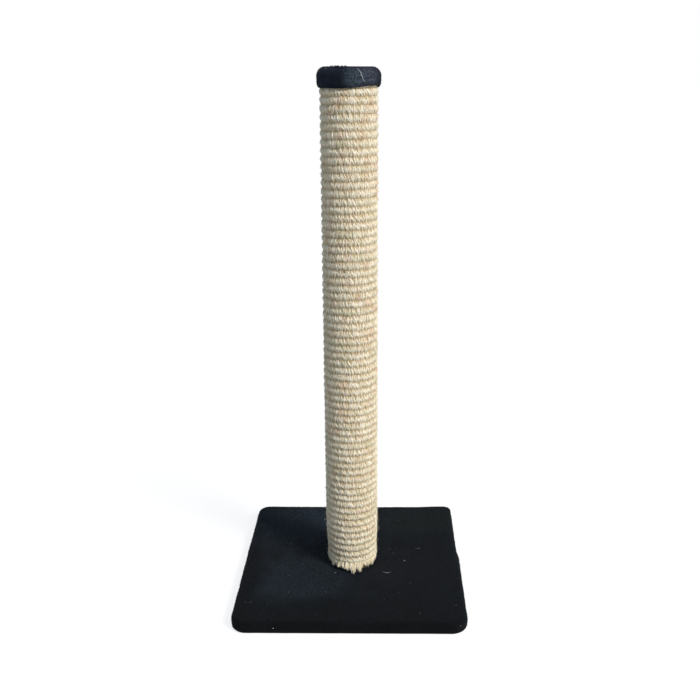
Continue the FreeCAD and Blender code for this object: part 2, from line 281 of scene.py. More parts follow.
def own_number(tree, name):
    """The number that each point of a mesh keeps under a name."""
    settings = {"data_type": "FLOAT", "Name": name}
    return add(tree, "GeometryNodeInputNamedAttribute", settings).outputs[0]


def place_each(tree, spots, piece, turn, size):
    """A piece on each spot, turned and sized."""
    source = add(tree, "GeometryNodeObjectInfo", None, {"Object": piece}).outputs["Geometry"]
    links = {"Points": spots, "Instance": source, "Rotation": turn, "Scale": size}
    return add(tree, "GeometryNodeInstanceOnPoints", None, links).outputs[0]


def finish_tree(tree, inputs, instances, tint):
    """Keeps each instance's tint, makes real meshes of them and gives them their material."""
    settings = {"data_type": "FLOAT", "domain": "INSTANCE", "Name": "strand_tint"}
    links = {"Geometry": instances, "Value": tint}
    kept = add(tree, "GeometryNodeStoreNamedAttribute", settings, links)
    real = add(tree, "GeometryNodeRealizeInstances", None, {"Geometry": kept.outputs[0]})
    links = {"Geometry": real.outputs[0], "Material": inputs["Material"]}
    dressed = add(tree, "GeometryNodeSetMaterial", None, links)
    add(tree, "NodeGroupOutput", None, {0: dressed.outputs[0]})


def yarn_loop_tree():
    """Sets yarn loops side by side along each rib, leaning a little, each one different."""
    tree, inputs = new_tree(
        "yarn loops along the ribs",
        {
            "Loop": "Object",
            "Spacing": "Float",
            "Rib pitch": "Float",
            "Lean": "Float",
            "Seed": "Int",
            "Material": "Material",
        },
    )
    seed = inputs["Seed"]
    ribs = add(tree, "GeometryNodeMeshToCurve", None, {0: inputs["Geometry"]})
    links = {"Curve": ribs.outputs[0], "Length": inputs["Spacing"]}
    spots = add(tree, "GeometryNodeCurveToPoints", {"mode": "LENGTH"}, links)
    least = (-LOOSE, -LOOSE, -LOOSE_UP)
    settings = {"data_type": "FLOAT_VECTOR", 0: least, 1: (LOOSE, LOOSE, LOOSE_UP)}
    loose = add(tree, "FunctionNodeRandomValue", settings, {8: seed})
    links = {"Geometry": spots.outputs[0], "Offset": loose.outputs[0]}
    moved = add(tree, "GeometryNodeSetPosition", None, links)
    place = split(tree, add(tree, "GeometryNodeInputPosition").outputs[0])
    turn = joined(
        tree,
        X=number(tree, "ADD", inputs["Lean"], random_value(tree, -0.5, 0.5, seed, 1)),
        Y=random_value(tree, -0.05, 0.05, seed, 2),
        Z=number(tree, "ARCTAN2", place["Y"], place["X"]),
    )
    size = joined(
        tree,
        X=random_value(tree, 0.85, 1.1, seed, 3),
        Y=random_value(tree, 0.86, 1.14, seed, 4),
        Z=number(tree, "DIVIDE", own_number(tree, "pitch"), inputs["Rib pitch"]),
    )
    loops = place_each(tree, moved.outputs[0], inputs["Loop"], turn, size)
    finish_tree(tree, inputs, loops, random_value(tree, 0.0, 1.0, seed, 5))
    return tree


def fibre_tree():
    """Scatters fibres over a cloth where its grow value allows, standing out and leaning."""
    tree, inputs = new_tree(
        "fibres standing out of a cloth",
        {
            "Fibre": "Object",
            "Per square metre": "Float",
            "Smallest": "Float",
            "Largest": "Float",
            "Lean": "Float",
            "Seed": "Int",
            "Material": "Material",
        },
    )
    seed = inputs["Seed"]
    density = number(tree, "MULTIPLY", own_number(tree, "grow"), inputs["Per square metre"])
    links = {"Mesh": inputs["Geometry"], "Density": density, "Seed": seed}
    settings = {"distribute_method": "RANDOM"}
    spots = add(tree, "GeometryNodeDistributePointsOnFaces", settings, links)
    lean = number(tree, "MULTIPLY", random_value(tree, 0.2, 1.0, seed, 1), inputs["Lean"])
    spin = random_value(tree, 0.0, TURN, seed, 2)
    turn = spots.outputs["Rotation"]
    for by in (joined(tree, Z=spin), joined(tree, X=lean)):
        links = {"Rotation": turn, "Rotate By": by}
        turned = add(tree, "FunctionNodeRotateRotation", {"rotation_space": "LOCAL"}, links)
        turn = turned.outputs[0]
    share = random_value(tree, 0.0, 1.0, seed, 3)
    links = {"Value": share, "To Min": inputs["Smallest"], "To Max": inputs["Largest"]}
    size = add(tree, "ShaderNodeMapRange", None, links).outputs[0]
    fibres = place_each(tree, spots.outputs["Points"], inputs["Fibre"], turn, size)
    finish_tree(tree, inputs, fibres, random_value(tree, 0.0, 1.0, seed, 4))
    return tree


# ---- materials ----


def object_place(tree, stretch=(1, 1, 1)):
    """Object coordinates in metres, squeezed so that a pattern is longer along one way."""
    place = add(tree, "ShaderNodeTexCoord").outputs["Object"]
    return add(tree, "ShaderNodeMapping", {"Scale": stretch}, {0: place}).outputs[0]


def speckle(tree, place, size, detail=2.0, rough=0.5):
    """Noise whose lumps are this many millimetres across."""
    settings = {"Scale": per(size), "Detail": detail, "Roughness": rough}
    return add(tree, "ShaderNodeTexNoise", settings, {"Vector": place}).outputs["Fac"]


def span(tree, value, low, high, out_low=0.0, out_high=1.0):
    """A value stretched from low..high to out_low..out_high, and held there."""
    settings = {"From Min": low, "From Max": high, "To Min": out_low, "To Max": out_high}
    return add(tree, "ShaderNodeMapRange", settings, {"Value": value}).outputs[0]


def blend(tree, factor, first, second):
    """Two colours mixed by a factor; each one is a hex colour or another node's output."""
    settings = {"data_type": "RGBA", "blend_type": "MIX"}
    links = {}
    for index, value in ((0, factor), (6, first), (7, second)):
        if isinstance(value, str):
            settings[index] = linear(value)
        elif isinstance(value, float):
            settings[index] = value
        else:
            links[index] = value
    return add(tree, "ShaderNodeMix", settings, links).outputs[2]


def bump(tree, height, distance, strength=1.0):
    settings = {"Distance": distance, "Strength": strength}
    return add(tree, "ShaderNodeBump", settings, {"Height": height}).outputs[0]


def surface(tree, settings, links):
    """The material's shader, joined to its output."""
    shader = add(tree, "ShaderNodeBsdfPrincipled", settings, links)
    add(tree, "ShaderNodeOutputMaterial", None, {"Surface": shader.outputs[0]})


def depth_in_ribs(tree):
    """How far out of the groove a point of the sisal lies, from 0 to 1; the yarn's painted groove
    shade follows it.
    """
    apart = split(tree, add(tree, "ShaderNodeTexCoord").outputs["Object"])
    out = length(tree, joined(tree, X=apart["X"], Y=apart["Y"]))
    drawn_in = span(tree, apart["Z"], PULLED_UP_TO, PULLED_FROM, 0.0, 2.2 * MM)
    return span(tree, number(tree, "ADD", out, drawn_in), 44.4 * MM, 46.6 * MM)


def strand_shade(tree, stops):
    """A colour from a ramp, by each strand's own tint."""
    tint = add(tree, "ShaderNodeAttribute", {"attribute_name": "strand_tint"}).outputs["Fac"]
    return ramp(tree, tint, stops)


def sisal_yarn():
    """Spun sisal: a hard, pale, cream-coloured leaf fibre, dull, with a faint silk along it.

    Each loop has its own tint, fine fibres run up it, and painted shade makes it browner down in the
    grooves.
    """
    material, tree = new_material("sisal yarn, spun and woven")
    stops = [(0.0, "#e0d3b7"), (0.3, "#e8dcc1"), (0.6, "#f0e5cd"), (1.0, "#f9f1df")]
    shade = strand_shade(tree, stops)
    # fibres about 0.9 mm apart and eight times as long, coarser than real so that they show
    along = object_place(tree, (1, 1, 0.12))
    fibres = speckle(tree, along, 0.9, 3.0, 0.6)
    dark_fibres = span(tree, fibres, 0.46, 0.34)
    streaked = blend(tree, span(tree, dark_fibres, 0, 1, 0, 0.25), shade, "#b89c74")
    # patches about two ribs tall where the fibre is redder or greener
    place = object_place(tree)
    red = span(tree, speckle(tree, place, 22), 0.54, 0.66, 0, 0.4)
    reddish = blend(tree, red, streaked, "#cf9f7c")
    shifted = object_place(tree, (1, 1, 1.3))
    green = span(tree, speckle(tree, shifted, 31), 0.54, 0.68, 0, 0.4)
    greenish = blend(tree, green, reddish, "#b4b188")
    # painted shade: the yarn is painted browner the deeper it lies in the grooves, where they are
    # shaded
    depth = depth_in_ribs(tree)
    brown = span(tree, depth, 0.0, 0.8, 0.55, 0.0)
    # grains about 2.6 mm across, where the spun fibre lies lighter or darker
    grain = speckle(tree, object_place(tree, (1, 1, 0.7)), 2.6, 3.0, 0.6)
    greenish = blend(tree, span(tree, grain, 0.5, 0.34, 0, 0.3), greenish, "#b29a72")
    greenish = blend(tree, span(tree, grain, 0.54, 0.7, 0, 0.5), greenish, "#f4ecdb")
    colour = blend(tree, brown, greenish, "#c0a67d")
    # a dark fleck of leaf skin in the yarn
    fleck_at = at(46 * MM, FRONT - 0.19, 587.6 * MM)
    fleck = oval_patch(tree, place, fleck_at, [3.0 * MM] * 3, 0.25)
    colour = blend(tree, span(tree, fleck, 0, 1, 0, 0.9), colour, "#453726")
    surface(
        tree,
        {"Roughness": 0.72, "IOR": 1.5, "Sheen Weight": 0.08, "Sheen Roughness": 0.4},
        {"Base Color": colour, "Normal": bump(tree, fibres, 0.5 * MM, 0.7)},
    )
    return material


def sisal_core():
    """The woven sisal under the loops: the same fibre with painted shade, darker and browner, with its
    threads across.
    """
    material, tree = new_material("sisal cloth, woven core")
    across = object_place(tree, (1, 1, 3))
    threads = speckle(tree, across, 2.2, 3.0, 0.6)
    # painted shade: darker, browner colours than the yarn's, for the cloth down in the grooves
    colour = ramp(tree, threads, [(0.3, "#a8936b"), (0.5, "#bfaa80"), (0.72, "#d4c19a")])
    surface(
        tree,
        {"Roughness": 0.85, "IOR": 1.5},
        {"Base Color": colour, "Normal": bump(tree, threads, 0.6 * MM)},
    )
    return material


def sisal_fray():
    """Cut sisal ends: the yarn opened into pale loose fibre, with browner streaks along it."""
    material, tree = new_material("sisal fibre, cut and frayed")
    stops = [(0.0, "#c3b189"), (0.3, "#e3d5b2"), (0.7, "#f0e5cb"), (1.0, "#faf2e1")]
    shade = strand_shade(tree, stops)
    fibres = speckle(tree, object_place(tree, (1, 1, 0.2)), 0.7, 2.0)
    colour = blend(tree, span(tree, fibres, 0.5, 0.36, 0, 0.3), shade, "#b39c70")
    surface(
        tree,
        {"Roughness": 0.7, "IOR": 1.5},
        {"Base Color": colour, "Normal": bump(tree, fibres, 0.4 * MM, 0.6)},
    )
    return material


def oval_patch(tree, place, centre, half, soft):
    """1 inside an oval patch of the cloth, with an uneven soft rim; sizes in metres."""
    settings = {
        "Location": [-middle / reach for middle, reach in zip(centre, half)],
        "Scale": [1 / reach for reach in half],
    }
    away = length(tree, add(tree, "ShaderNodeMapping", settings, {0: place}).outputs[0])
    uneven = number(tree, "ADD", away, speckle(tree, place, 38, 3.0))
    return span(tree, uneven, 1.5 + soft, 1.5 - soft)


def plush(name, deep, mid, high, patches):
    """Short-pile plush: matt and very dark, with a soft bluish sheen where the pile is brushed.

    Patches are ovals that look lighter or darker than the rest of the cloth.
    """
    material, tree = new_material(name)
    place = object_place(tree)
    cloud = speckle(tree, place, 60, 4.0, 0.6)
    colour = ramp(tree, cloud, [(0.32, deep), (0.52, mid), (0.75, high)])
    mottle = span(tree, speckle(tree, place, 2.2, 4.0, 0.75), 0.42, 0.6, 0.05, 1.4)
    for centre, half, soft, share, shade in patches:
        inside = span(tree, oval_patch(tree, place, centre, half, soft), 0, 1, 0, share)
        part = number(tree, "MULTIPLY", inside, mottle)
        colour = blend(tree, part, colour, shade)
    # pile tufts about 1.3 mm apart
    pile = speckle(tree, place, 1.3, 2.0, 0.6)
    colour = blend(tree, span(tree, pile, 0.42, 0.3, 0, 0.6), colour, "#06080a")
    colour = blend(tree, span(tree, pile, 0.62, 0.74, 0, 0.12), colour, "#48525f")
    surface(
        tree,
        {
            "Roughness": 0.95,
            "Specular IOR Level": 0.1,
            "Sheen Weight": 0.04,
            "Sheen Roughness": 0.5,
            "Sheen Tint": linear("#8fa0b8"),
        },
        {"Base Color": colour, "Normal": bump(tree, pile, 0.9 * MM, 0.8)},
    )
    return material


def base_plush():
    return plush(
        "short-pile plush, black, on the base",
        "#080a0c",
        "#0e1114",
        "#14171b",
        [
            # a brushed patch left of the front, where the nap lies the other way and looks lighter, in
            # two ovals
            ((-0.085, -0.07, 0.024), (0.08, 0.085, 0.1), 0.25, 0.85, "#20282f"),
            ((-0.12, -0.11, 0.024), (0.05, 0.045, 0.1), 0.3, 0.6, "#20272e"),
            # painted light: a lighter nap patch at the back left, made lighter still to paint out the
            # post's shadow that falls there
            ((-0.12, 0.12, 0.024), (0.1, 0.08, 0.1), 0.4, 1.0, "#252d36"),
            ((0.12, 0.14, 0.024), (0.09, 0.06, 0.1), 0.4, 0.8, "#151c1a"),
            ((-0.19, -0.08, 0.024), (0.02, 0.15, 0.1), 0.3, 1.0, "#050709"),
            ((0.07, -0.05, 0.024), (0.05, 0.04, 0.1), 0.4, 0.5, "#17181a"),
            ((-0.02, -0.175, 0.024), (0.26, 0.045, 0.1), 0.3, 0.9, "#050607"),
            ((0.14, -0.05, 0.024), (0.07, 0.13, 0.1), 0.3, 0.7, "#090b0d"),
        ],
    )


def cap_plush():
    return plush(
        "short-pile plush, black, on the cap",
        "#161b24",
        "#1d232e",
        "#262d3c",
        [
            # scuffed, dusty patches on the front of the cap, right of its middle, in two ovals
            ((0.012, -0.051, 0.890), (0.016, 0.02, 0.012), 0.5, 0.85, "#4e5962"),
            ((0.034, -0.040, 0.896), (0.016, 0.022, 0.014), 0.5, 0.85, "#4a4f5a"),
        ],
    )


def lint():
    """Lint and hairs caught in the pile: pale grey dust, dull."""
    material, tree = new_material("lint, pale grey")
    colour = blend(tree, speckle(tree, object_place(tree), 2.0), "#8b9098", "#d6d8dc")
    surface(tree, {"Roughness": 0.8, "IOR": 1.5}, {"Base Color": colour})
    return material


def fibreboard():
    """Raw MDF: flat brown, with short pressed wood fibres showing as fine flecks."""
    material, tree = new_material("medium-density fibreboard, raw")
    place = object_place(tree)
    flecks = speckle(tree, place, 1.6, 4.0, 0.7)
    cloud = speckle(tree, place, 45)
    base = blend(tree, cloud, "#a17b52", "#b28c61")
    colour = blend(tree, span(tree, flecks, 0.55, 0.72, 0, 0.7), base, "#7d5c39")
    surface(
        tree, {"Roughness": 0.8}, {"Base Color": colour, "Normal": bump(tree, flecks, 0.15 * MM)}
    )
    return material


def cardboard():
    """Kraft paper tube: brown, matt, with pressed fibres and darker specks."""
    material, tree = new_material("kraft cardboard, spiral wound")
    fibres = speckle(tree, object_place(tree, (1, 1, 0.3)), 1.8, 4.0, 0.65)
    colour = blend(tree, span(tree, fibres, 0.35, 0.68), "#98774c", "#bd9d70")
    surface(
        tree, {"Roughness": 0.88}, {"Base Color": colour, "Normal": bump(tree, fibres, 0.1 * MM)}
    )
    return material


def plug_wood():
    """Sawn softwood: pale yellow, with darker growth rings across the sawn face."""
    material, tree = new_material("pine, sawn")
    place = object_place(tree, (1, 0.35, 1))
    rings = add(
        tree,
        "ShaderNodeTexWave",
        {"Scale": per(9) / 6, "Distortion": 3.0, "Detail": 2.0, "wave_type": "RINGS"},
        {"Vector": place},
    ).outputs["Fac"]
    colour = blend(tree, rings, "#b98d56", "#d6b483")
    surface(
        tree, {"Roughness": 0.7}, {"Base Color": colour, "Normal": bump(tree, rings, 0.1 * MM)}
    )
    return material


def plated_steel(name, light, dark, roughness):
    """Zinc on steel: bright grey, softly cloudy, with fine scratches from handling."""
    material, tree = new_material(name)
    cloud = speckle(tree, object_place(tree), 3.0, 3.0)
    scratches = speckle(tree, object_place(tree, (1, 0.06, 1)), 0.4, 2.0)
    colour = blend(tree, cloud, dark, light)
    rough = span(tree, scratches, 0.3, 0.7, roughness, roughness + 0.2)
    surface(
        tree,
        {"Metallic": 1.0},
        {"Base Color": colour, "Roughness": rough, "Normal": bump(tree, scratches, 0.05 * MM)},
    )
    return material


# ---- sisal ----


def rib_jitter():
    """How far each groove is off its even height, as the weaving and the pull leave it."""
    draw = random.Random(11)
    return [0.0] + [draw.uniform(-0.45, 0.45) * MM for _ in range(RIB_COUNT - 1)] + [0.0]


JITTER = rib_jitter()


# How far the grooves sag in front: share of the post's height, and millimetres.
GROOVE_SAG = ((1.0, 0.0), (0.68, 0.3), (0.45, 3.2), (0.1, 4.8), (0.0, 6.0))


def groove_sag(share, angle):
    """How far a groove lies below its even height, in front and not at the seam."""
    front = eased(math.cos(angle - FRONT), -0.98, 0.35)
    return front * from_table(GROOVE_SAG, share) * MM


def groove_height(number, angle):
    """The height of a groove: ribs grow a little taller upwards, and waver round the post."""
    share = number / RIB_COUNT
    ribbed = POST_TOP - FRAYED_TOP
    even = FRAYED_TOP + ribbed * share * (1 + RIB_GROWTH * (share - 1))
    even -= groove_sag(share, angle)
    if number in (0, RIB_COUNT):
        return even
    sway = 0.5 * MM * wave(1.6 * math.cos(angle), 1.6 * math.sin(angle), number * 0.37)
    return even + JITTER[number] + sway


def foot_pull(height, angle):
    """How far the cloth is drawn in towards the tube over its last few ribs, most on the left."""
    left = max(0.0, -math.cos(angle))
    return (1.2 + 1.7 * left) * MM * (1 - eased(height, PULLED_FROM, PULLED_UP_TO))


def seam_angle(column):
    """Columns run once round the post, from one edge of the seam to the other."""
    half = SEAM_GAP / 2 / GROOVE_RADIUS
    return BACK + half + (TURN - 2 * half) * column / ROUND_COLUMNS


STEPS_PER_RIB = 6


def make_sisal_cloth(material):
    """The cloth as one closed shell: ribbed outside, plain against the tube, open at its seam."""
    columns = ROUND_COLUMNS + 1
    points = []
    rows = 0
    foot_rows = ((CLOTH_FOOT, 42.6 * MM), (33 * MM, 43.4 * MM))
    for height, radius in foot_rows:
        for column in range(columns):
            angle = seam_angle(column)
            points.append(at(radius - foot_pull(height, angle), angle, height))
        rows += 1
    for rib in range(RIB_COUNT):
        for step in range(STEPS_PER_RIB):
            share = step / STEPS_PER_RIB
            rise = math.sin(math.pi * share) ** 0.8
            for column in range(columns):
                angle = seam_angle(column)
                low = groove_height(rib, angle)
                high = groove_height(rib + 1, angle)
                height = low + (high - low) * share
                uneven = 0.25 * MM * wave(angle * 7, rib * 1.7, share * 2)
                radius = CORE_GROOVE + (CORE_CREST - CORE_GROOVE) * rise + uneven
                points.append(at(radius - foot_pull(height, angle), angle, height))
            rows += 1
    for column in range(columns):
        points.append(at(CORE_GROOVE, seam_angle(column), POST_TOP))
    rows += 1
    faces = ring_faces(rows, columns)
    inner_start = len(points)
    inner_heights = [CLOTH_FOOT]
    inner_heights += [groove_height(rib, BACK) for rib in range(RIB_COUNT + 1)]
    for height in inner_heights:
        for column in range(columns):
            points.append(at(SLEEVE_BORE, seam_angle(column), height))
    inner = ring_faces(len(inner_heights), columns, flip=True)
    faces += [tuple(inner_start + index for index in face) for face in inner]
    top_outer = (rows - 1) * columns
    top_inner = inner_start + (len(inner_heights) - 1) * columns
    for column in range(columns - 1):
        right = column + 1
        faces.append((column, inner_start + column, inner_start + right, right))
        faces.append((top_outer + column, top_outer + right, top_inner + right, top_inner + column))
    for column, flip in ((0, False), (columns - 1, True)):
        marks = [0, len(foot_rows)] + [
            len(foot_rows) + STEPS_PER_RIB * (rib + 1) for rib in range(RIB_COUNT)
        ]
        for level in range(len(marks) - 1):
            side = [row * columns + column for row in range(marks[level], marks[level + 1] + 1)]
            side.append(inner_start + (level + 1) * columns + column)
            side.append(inner_start + level * columns + column)
            faces.append(tuple(side[::-1] if flip else side))
    cloth = mesh_object("sisal_cloth", points, faces, material)
    store(cloth, "grow", [1.0 if index < inner_start else 0.0 for index in range(len(points))])
    return cloth


LOOP_RINGS = 7
LOOP_SIDES = 6
LOOP_OVERLAP = 1.14
YARN_DEEP = 1.25 * MM
YARN_WIDE = 1.5 * MM


def make_yarn_loop():
    """One strand of spun yarn, from a groove up over the rib to the next groove.

    X points out of the post, Y along the rib and Z up; the strand is oval and turns as it rises.
    """
    points = []
    reach = 0.5 * RIB_PITCH * LOOP_OVERLAP
    for ring in range(LOOP_RINGS):
        share = ring / (LOOP_RINGS - 1)
        arch = math.sin(math.pi * share)
        full = 0.55 + 0.45 * arch ** 0.6
        out = (-0.4 + 2.3 * arch ** 1.6) * MM
        sway = 0.6 * MM * math.sin(TURN * share)
        twist = 1.3 * (share - 0.5)
        for side in range(LOOP_SIDES):
            turn = TURN * side / LOOP_SIDES
            across = YARN_DEEP * full * math.cos(turn + twist)
            along = YARN_WIDE * full * math.sin(turn + twist)
            points.append((out + across, sway + along, reach * (2 * share - 1)))
    faces = ring_faces(LOOP_RINGS, LOOP_SIDES, closed=True)
    last = (LOOP_RINGS - 1) * LOOP_SIDES
    faces.append(tuple(reversed(range(LOOP_SIDES))))
    faces.append(tuple(range(last, last + LOOP_SIDES)))
    return mesh_object("yarn_loop", points, faces)


SEAM_CLEAR = 2.1 * MM
FIRST_STAPLED = 3
RIBS_PER_STAPLE = 6
STAPLE_REACH = 8 * MM


def pinched(rib, angle):
    """How short the yarn is drawn beside the seam's staples, which lie in every sixth groove."""
    away = abs(math.sin((angle - BACK) / 2)) * 2 * GROOVE_RADIUS
    beside = (rib - FIRST_STAPLED) % RIBS_PER_STAPLE in (0, RIBS_PER_STAPLE - 1)
    return 0.8 if beside and away < STAPLE_REACH else 1.0


def rib_carrier(first, last):
    """Lines round the post, one along each rib, that say where its loops go."""
    points = []
    edges = []
    pitches = []
    for rib in range(first, last):
        for column in range(ROUND_COLUMNS + 1):
            clear = SEAM_CLEAR / GROOVE_RADIUS
            angle = BACK + clear + (TURN - 2 * clear) * column / ROUND_COLUMNS
            low = groove_height(rib, angle)
            high = groove_height(rib + 1, angle)
            height = (low + high) / 2
            radius = LOOP_PATH_RADIUS - foot_pull(height, angle)
            if column:
                edges.append((len(points) - 1, len(points)))
            points.append(at(radius, angle, height))
            pitches.append((high - low) * pinched(rib, angle))
    mesh = bpy.data.meshes.new("rib lines")
    mesh.from_pydata(points, edges, [])
    carrier = in_scene("rib lines", mesh)
    store(carrier, "pitch", pitches)
    return carrier


LOOP_PARTS = (
    ("lowest", 0, 17),
    ("lower", 17, 34),
    ("upper", 34, 51),
    ("highest", 51, RIB_COUNT),
)


def make_sisal_loops(material):
    """The loops in four pieces, from the foot to the cap."""
    tree = yarn_loop_tree()
    loop = make_yarn_loop()
    made = []
    for index, (name, first, last) in enumerate(LOOP_PARTS):
        values = {
            "Loop": loop,
            "Spacing": LOOP_SPACING,
            "Rib pitch": RIB_PITCH,
            "Lean": 0.1,
            "Seed": 40 + index,
            "Material": material,
        }
        made.append(grow(f"sisal_loops_{name}", rib_carrier(first, last), tree, values))
    bpy.data.objects.remove(loop)
    return made


FOOT_YARNS = 36
FOOT_STRANDS = 13
STRAND_STEPS = 5
FRAY_START = 45.3 * MM
FRAY_RADIUS = 43.9 * MM
FRAY_LOWEST = 24.3 * MM


def within(draw, most):
    """A random length, up to this many millimetres either way."""
    return draw.uniform(-most, most) * MM


def cut_strand(out, tip, root, gather, curl, start, low):
    """A strand's line and radii: it bellies out, draws in to its yarn's point and thins."""
    line = []
    radii = []
    for step in range(STRAND_STEPS + 1):
        share = step / STRAND_STEPS
        late = share ** 2.2
        belly = 2.0 * MM * math.sin(math.pi * min(1.0, share * 1.1)) ** 0.6
        angle = root + gather * late + curl * math.sin(math.pi * share)
        line.append(Vector(at(out + belly + tip * late, angle, start + (low - start) * share)))
        radii.append((1.0 - 0.7 * share ** 2.5) * MM)
    return line, radii


def make_cut_ends(material):
    """The frayed foot: each yarn's cut end opens into strands that draw together to a point."""
    draw = random.Random(5)
    points = []
    faces = []
    tints = []
    for yarn in range(FOOT_YARNS):
        middle = FRONT + TURN * (yarn + 0.4) / FOOT_YARNS
        front = max(0.0, math.cos(middle - FRONT)) ** 2
        sway = within(draw, 4.0)
        lift = draw.uniform(0.0, 1.0) ** 1.5 * 4.5 * MM + (1 - front) * 2.0 * MM
        lowest = math.exp(-((math.sin(middle - FRONT - 0.05)) / 0.13) ** 2) * front
        flare = (draw.uniform(-0.5, 1.5) + draw.uniform(4.0, 9.0) * front + 4.5 * lowest) * MM
        shade = draw.random()
        for _ in range(FOOT_STRANDS):
            across = within(draw, 4.6)
            root = middle + across / GROOVE_RADIUS
            gather = (sway - 0.5 * across + within(draw, 1.6)) / GROOVE_RADIUS
            low = FRAY_LOWEST + lift * (1 - lowest) + abs(across) * 0.55
            low += draw.uniform(0.0, 2.5) * MM
            start = FRAY_START - groove_sag(0, root) + draw.uniform(-1.5, 2.2) * MM
            out = FRAY_RADIUS - foot_pull(50 * MM, root) * 0.7 + within(draw, 0.9)
            tip = flare + within(draw, 1.0)
            curl = within(draw, 1.6) / GROOVE_RADIUS
            line, radii = cut_strand(out, tip, root, gather, curl, start, low)
            already = len(points)
            tube_along(points, faces, line, radii, 4)
            tint = max(0.0, min(1.0, 0.3 * shade + 0.7 * draw.random()))
            tints += [tint] * (len(points) - already)
    made = mesh_object("sisal_cut_ends", points, faces, material)
    store(made, "strand_tint", tints)
    return made


# Strands pulled loose: degrees from the front and height in millimetres, point by point.
LOOSE_STRANDS = (
    ((-3.5, 577.0), (-0.5, 578.5), (2.8, 576.0), (2.6, 571.5), (-0.5, 569.0), (-3.6, 571.0)),
    ((-6.0, 231.0), (-3.5, 227.0), (-1.0, 222.5), (2.0, 219.5)),
    ((-16.0, 320.0), (-13.5, 316.0), (-11.5, 311.0), (-11.0, 306.0)),
    ((-32.0, 402.0), (-27.0, 405.5), (-21.0, 406.0), (-16.0, 403.5)),
    ((24.0, 468.0), (28.0, 464.0), (29.5, 458.0), (28.5, 452.0)),
    ((-41.0, 668.0), (-37.0, 672.0), (-31.0, 672.5), (-26.0, 669.0)),
    ((11.0, 748.0), (15.0, 744.5), (20.0, 744.0), (24.0, 747.0)),
    ((-22.0, 512.0), (-19.0, 507.0), (-18.5, 500.0), (-21.0, 494.0)),
)


def make_loose_strands(material):
    """A few strands pulled loose by claws, lying over the ribs."""
    points = []
    faces = []
    for places in LOOSE_STRANDS:
        spots = []
        for index, (degrees, level) in enumerate(places):
            middle = 1 - abs(2 * index / (len(places) - 1) - 1)
            radius = (46.6 + 1.6 * middle) * MM
            spots.append(at(radius, FRONT + math.radians(degrees), level * MM))
        hair(points, faces, spots, 0.45 * MM)
    made = mesh_object("sisal_loose_strands", points, faces, material)
    store(made, "strand_tint", [0.95] * len(points))
    return made


FIBRE_SIDES = 3


def make_fibre(name, tall, radius, bend, steps):
    """One fibre of a cloth's fuzz, rooted at the origin and pointing along Z, bent over at its tip."""
    points = []
    faces = []
    line = []
    radii = []
    for step in range(steps):
        share = step / (steps - 1)
        line.append(Vector((bend * share ** 2, 0, tall * share)))
        radii.append(radius * (1 - 0.8 * share))
    tube_along(points, faces, line, radii, FIBRE_SIDES)
    return mesh_object(name, points, faces)


def copied(cloth, wider=1.0):
    """A copy of a cloth for fibres to be set on, wider than it by a share."""
    twin = in_scene("carrier", cloth.data.copy())
    twin.data.transform(Matrix.Diagonal((wider, wider, 1.0, 1.0)))
    return twin


def grow_fibres(name, cloth, tree, fibre, material, dense, sizes, lean, seed, wider=1.0):
    """Fibres on a cloth as their own piece, so many to a square metre."""
    values = {
        "Fibre": fibre,
        "Per square metre": dense,
        "Smallest": sizes[0],
        "Largest": sizes[1],
        "Lean": lean,
        "Seed": seed,
        "Material": material,
    }
    made = grow(name, copied(cloth, wider), tree, values)
    bpy.data.objects.remove(fibre)
    return made


# ---- plush on the base ----

SIDE_STEPS = 64
HEM_ROWS = 12
CORNER_STEPS = 9

# How round the cloth lies at each corner, from the front right by the back to the front left.
CORNER_SHARES = (1.0, 0.45, 0.8, 1.0)


def square_ring(half, corner):
    """Points and outward directions round a rounded square, from the middle of its front side."""
    ring = []
    for quarter in range(4):
        turn = Matrix.Rotation(quarter * BACK, 2)
        before = half - corner * CORNER_SHARES[quarter - 1]
        rounded = corner * CORNER_SHARES[quarter]
        after = half - rounded
        for step in range(SIDE_STEPS):
            along = -before + (before + after) * (step + 0.5) / SIDE_STEPS
            ring.append((turn @ Vector((along, -half)), turn @ Vector((0, -1))))
        for step in range(CORNER_STEPS):
            angle = FRONT + BACK * (step + 0.5) / CORNER_STEPS
            out = Vector((math.cos(angle), math.sin(angle)))
            spot = Vector((after, -after)) + rounded * out
            ring.append((turn @ spot, turn @ out))
    return ring


RING_POINTS = 4 * (SIDE_STEPS + CORNER_STEPS)


def cover_rings():
    """The base cloth's outer face, from the bolt hole out over the edge and under to its hem.

    Each ring is the half width, the corner radius and the height of one line round the cloth.
    """
    rings = [(BOLT_HOLE, 0.9 * BOLT_HOLE, BASE_TOP), (20 * MM, 18 * MM, BASE_TOP)]
    inner = 38 * MM
    outer = BASE_HALF - BASE_EDGE
    for step in range(19):
        share = step / 18
        half = inner + (outer - inner) * share
        corner = min(0.9 * half, inner * (1 - share) ** 0.7 + (BASE_CORNER - BASE_EDGE) * share)
        rings.append((half, corner, BASE_TOP))
    for step in range(1, 7):
        angle = BACK * step / 6
        back = BASE_EDGE * (1 - math.sin(angle))
        height = BASE_TOP - BASE_EDGE * (1 - math.cos(angle))
        rings.append((BASE_HALF - back, BASE_CORNER - back, height))
    rings.append((BASE_HALF, BASE_CORNER, BASE_TOP / 2))
    for step in range(7):
        angle = BACK * step / 6
        back = BASE_EDGE * (1 - math.cos(angle))
        height = BASE_EDGE * (1 - math.sin(angle))
        rings.append((BASE_HALF - back, BASE_CORNER - back, height))
    hem_inset = BASE_HALF - BOARD_HALF + HEM_WIDTH
    for step in range(1, HEM_ROWS + 1):
        inset = BASE_EDGE + (hem_inset - BASE_EDGE) * step / HEM_ROWS
        rings.append((BASE_HALF - inset, max(1.5 * MM, BASE_CORNER - inset), 0.0))
    return rings


